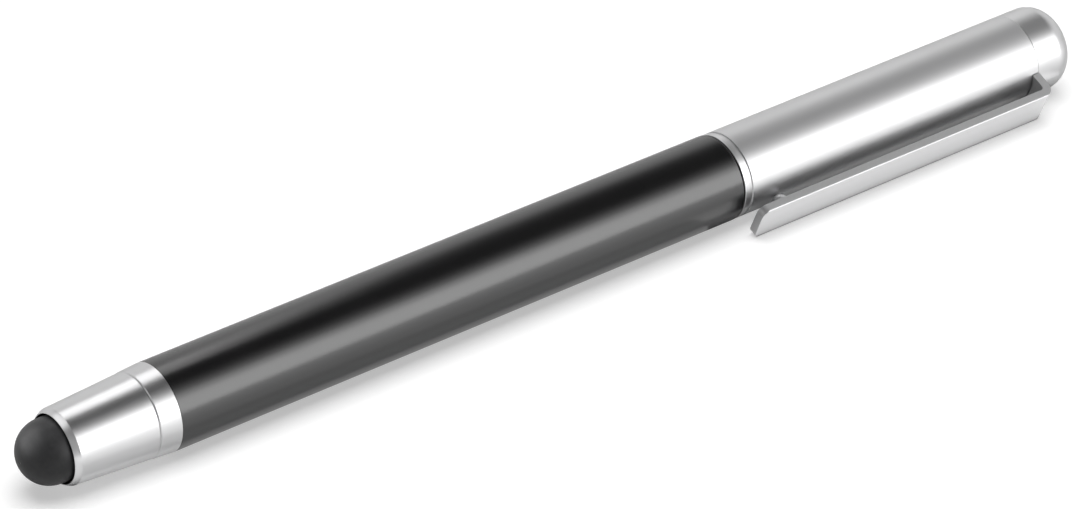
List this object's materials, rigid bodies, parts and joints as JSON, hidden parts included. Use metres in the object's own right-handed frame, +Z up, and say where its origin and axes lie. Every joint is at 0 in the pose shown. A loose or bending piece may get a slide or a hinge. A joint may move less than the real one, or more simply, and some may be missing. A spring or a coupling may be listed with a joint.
{
  "type": "stylus pen",
  "caption": "Capped pen lying down: a soft stylus dome on the silver nose, and a ballpoint under the pull-off cap with a pocket clip.",
  "frame": {"origin": "on the surface that the pen lies on, under the middle of the whole object's box", "axes": "+X along the pen's axis from the stylus dome to the cap's crown, +Z up, the pocket clip on the -Y side"},
  "size_m": [0.1346, 0.0122, 0.0095],
  "materials": {
    "silver": "satin, finely brushed",
    "clip_metal": "satin plated",
    "satin_black": "satin lacquer",
    "rubber": "soft matte",
    "black_plastic": "fine matte",
    "white_plastic": "plain moulded",
    "brass": "turned",
    "nickel": "plated, bright",
    "carbide": "polished",
    "ink": "dark paste"
  },
  "bodies": {
    "barrel": {"dome_stem": "black_plastic", "nose_cone": "silver", "nose_coupling": "brass", "front_collar": "silver", "barrel_tube": "satin_black", "refill_stop": "white_plastic", "section_coupling": "brass", "writing_section": "black_plastic", "section_nose": "silver", "refill_tube": "brass", "refill_plug": "white_plastic", "ink_column": "ink", "refill_tip": "nickel"},
    "dome": {"stylus_dome": "rubber"},
    "clutch": {"clutch_ring": "nickel"},
    "cap": {"cap_mouth_ring": "silver", "cap_tube": "silver", "cap_liner": "black_plastic", "crown_bush": "brass", "clip_root": "clip_metal", "crown_screw": "nickel", "cap_crown": "silver"},
    "clip": {"pocket_clip": "clip_metal"},
    "ball": {"writing_ball": "carbide"}
  },
  "joints": [
    {"name": "tip_press", "type": "slide", "parent": "barrel", "child": "dome", "axis": [1, 0, 0], "range_m": [0, 0.0006], "stiffness_N_per_m": 800},
    {"name": "cap_turn", "type": "hinge", "parent": "barrel", "child": "clutch", "pos_m": [0.02652, 0.00137, 0.00475], "axis": [1, 0, 0], "continuous": true},
    {"name": "cap_pull", "type": "slide", "parent": "clutch", "child": "cap", "axis": [1, 0, 0], "range_m": [0, 0.045]},
    {"name": "clip_flex", "type": "hinge", "parent": "cap", "child": "clip", "pos_m": [0.06105, -0.00304, 0.00287], "axis": [0, -0.3925, 0.9197], "range_deg": [0, 4], "stiffness_Nm_per_rad": 3},
    {"name": "ball_roll", "type": "hinge", "parent": "barrel", "child": "ball", "pos_m": [0.04938, 0.00137, 0.00475], "axis": [0, 1, 0], "continuous": true}
  ]
}
